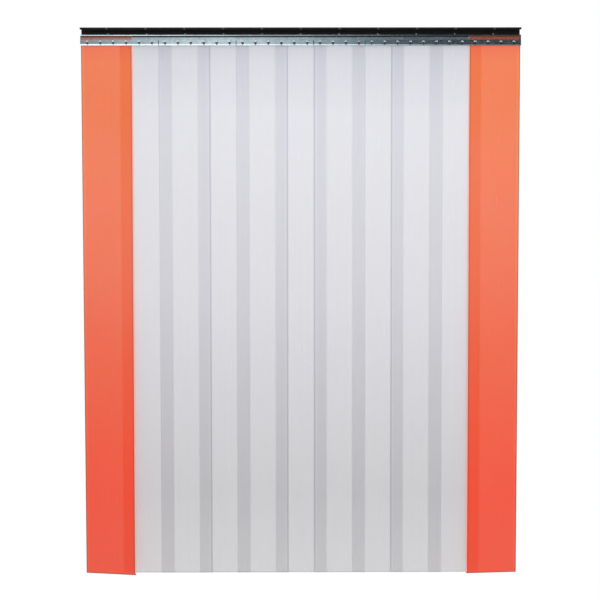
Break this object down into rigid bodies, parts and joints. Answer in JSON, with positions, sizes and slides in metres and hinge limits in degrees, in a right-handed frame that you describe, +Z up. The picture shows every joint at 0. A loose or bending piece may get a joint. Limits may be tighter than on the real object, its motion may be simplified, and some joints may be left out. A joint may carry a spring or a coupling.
{
  "type": "pvc strip curtain",
  "caption": "Doorway curtain of overlapping clear PVC strips with orange end strips, clamped by flared steel plates to a hanger rail hooked on a black head rail.",
  "frame": {"origin": "back face of the head rail's web at the middle of the rail's length, 10 mm below the top of the flange", "axes": "+X along the rail to the viewer's right, +Y into the wall, +Z up"},
  "size_m": [1.707, 0.0769, 2.131],
  "materials": {
    "black_rail": "satin black",
    "galvanised": "galvanised",
    "clear_pvc": "translucent, slightly milky",
    "orange_pvc": "translucent orange"
  },
  "bodies": {
    "head_rail": {"head_rail": "black_rail"},
    "hanger": {"hanger_rail": "galvanised", "clamp_plate_1": "galvanised", "clamp_plate_2": "galvanised", "clamp_plate_3": "galvanised", "clamp_plate_4": "galvanised", "clamp_plate_5": "galvanised", "clamp_plate_6": "galvanised", "strip_head_01": "orange_pvc", "strip_head_02": "clear_pvc", "strip_head_03": "clear_pvc", "strip_head_04": "clear_pvc", "strip_head_05": "clear_pvc", "strip_head_06": "clear_pvc", "strip_head_07": "clear_pvc", "strip_head_08": "clear_pvc", "strip_head_09": "clear_pvc", "strip_head_10": "clear_pvc", "strip_head_11": "orange_pvc"},
    "strip_01": {"strip_01": "orange_pvc"},
    "strip_02": {"strip_02": "clear_pvc"},
    "strip_03": {"strip_03": "clear_pvc"},
    "strip_04": {"strip_04": "clear_pvc"},
    "strip_05": {"strip_05": "clear_pvc"},
    "strip_06": {"strip_06": "clear_pvc"},
    "strip_07": {"strip_07": "clear_pvc"},
    "strip_08": {"strip_08": "clear_pvc"},
    "strip_09": {"strip_09": "clear_pvc"},
    "strip_10": {"strip_10": "clear_pvc"},
    "strip_11": {"strip_11": "orange_pvc"}
  },
  "joints": [
    {"name": "hanger_swing", "type": "hinge", "parent": "head_rail", "child": "hanger", "pos_m": [0, -0.028, -0.0203], "axis": [1, 0, 0], "range_deg": [-25, 70]},
    {"name": "strip_01_bend", "type": "hinge", "parent": "hanger", "child": "strip_01", "pos_m": [-0.75, -0.0371, -0.062], "axis": [1, 0, 0], "range_deg": [-80, 0]},
    {"name": "strip_02_bend", "type": "hinge", "parent": "hanger", "child": "strip_02", "pos_m": [-0.6, -0.0348, -0.062], "axis": [1, 0, 0], "range_deg": [0, 80]},
    {"name": "strip_03_bend", "type": "hinge", "parent": "hanger", "child": "strip_03", "pos_m": [-0.45, -0.0371, -0.062], "axis": [1, 0, 0], "range_deg": [-80, 0]},
    {"name": "strip_04_bend", "type": "hinge", "parent": "hanger", "child": "strip_04", "pos_m": [-0.3, -0.0348, -0.062], "axis": [1, 0, 0], "range_deg": [0, 80]},
    {"name": "strip_05_bend", "type": "hinge", "parent": "hanger", "child": "strip_05", "pos_m": [-0.15, -0.0371, -0.062], "axis": [1, 0, 0], "range_deg": [-80, 0]},
    {"name": "strip_06_bend", "type": "hinge", "parent": "hanger", "child": "strip_06", "pos_m": [0, -0.0348, -0.062], "axis": [1, 0, 0], "range_deg": [0, 80]},
    {"name": "strip_07_bend", "type": "hinge", "parent": "hanger", "child": "strip_07", "pos_m": [0.15, -0.0371, -0.062], "axis": [1, 0, 0], "range_deg": [-80, 0]},
    {"name": "strip_08_bend", "type": "hinge", "parent": "hanger", "child": "strip_08", "pos_m": [0.3, -0.0348, -0.062], "axis": [1, 0, 0], "range_deg": [0, 80]},
    {"name": "strip_09_bend", "type": "hinge", "parent": "hanger", "child": "strip_09", "pos_m": [0.45, -0.0371, -0.062], "axis": [1, 0, 0], "range_deg": [-80, 0]},
    {"name": "strip_10_bend", "type": "hinge", "parent": "hanger", "child": "strip_10", "pos_m": [0.6, -0.0348, -0.062], "axis": [1, 0, 0], "range_deg": [0, 80]},
    {"name": "strip_11_bend", "type": "hinge", "parent": "hanger", "child": "strip_11", "pos_m": [0.75, -0.0371, -0.062], "axis": [1, 0, 0], "range_deg": [-80, 0]}
  ]
}
